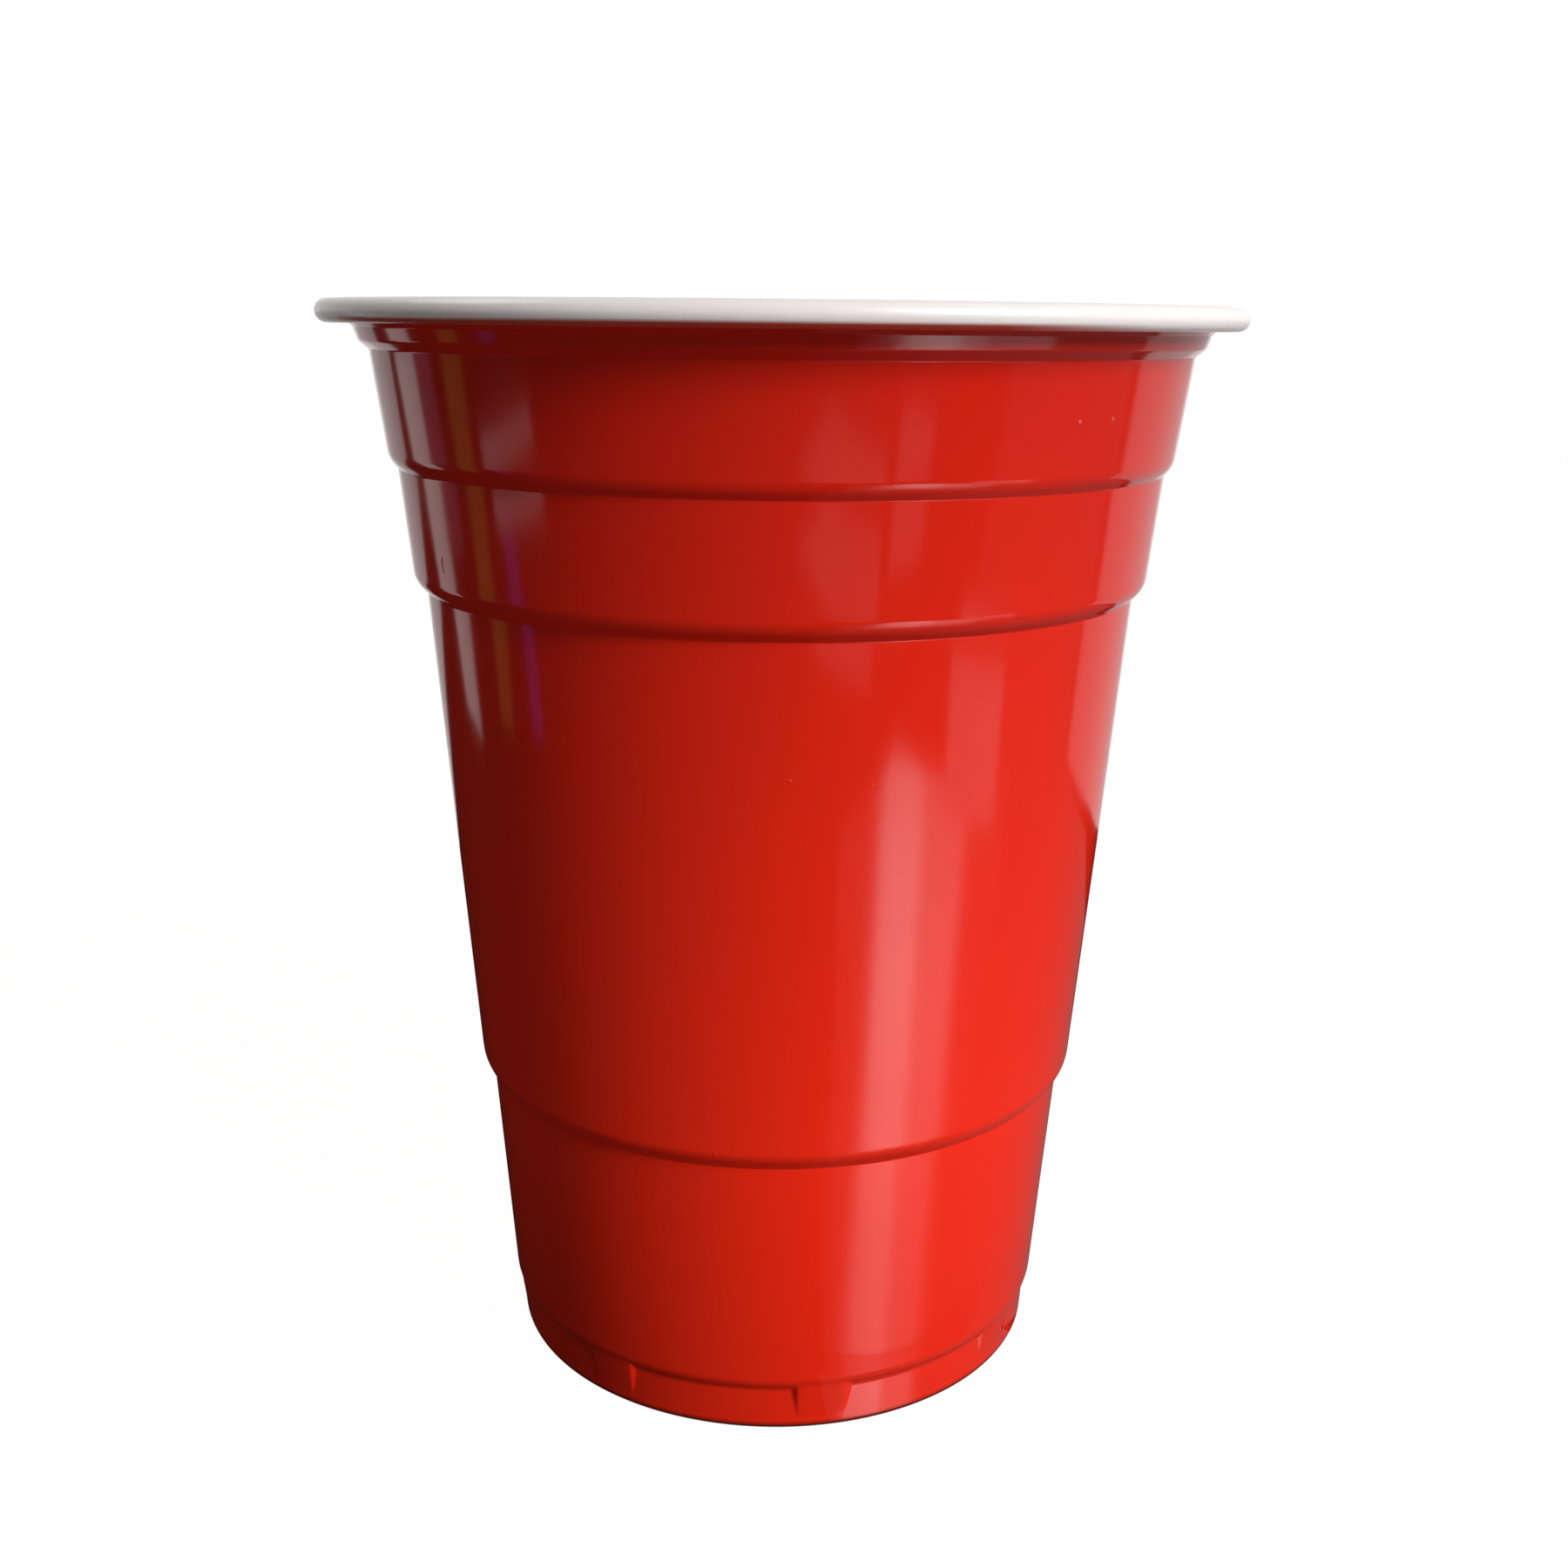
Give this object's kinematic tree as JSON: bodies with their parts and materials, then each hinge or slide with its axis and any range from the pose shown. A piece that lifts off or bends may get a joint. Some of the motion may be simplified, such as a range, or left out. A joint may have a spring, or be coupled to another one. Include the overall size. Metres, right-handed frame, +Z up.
{
  "type": "plastic party cup",
  "caption": "Tapered disposable plastic cup with stepped gripping bands, a rolled open lip, a collar under it and small stacking lugs round the foot",
  "frame": {"origin": "centre of the base, at the height of the surface that the cup stands on", "axes": "+Z up along the axis of the cup; -Y faces the viewer of the picture; +X to that viewer's right"},
  "size_m": [0.095, 0.095, 0.1143],
  "materials": {
    "cup_sheet": "glossy red outside, with a white inner layer that shows inside the cup and on the rolled lip"
  },
  "bodies": {
    "root": {"cup": "cup_sheet"}
  },
  "joints": []
}
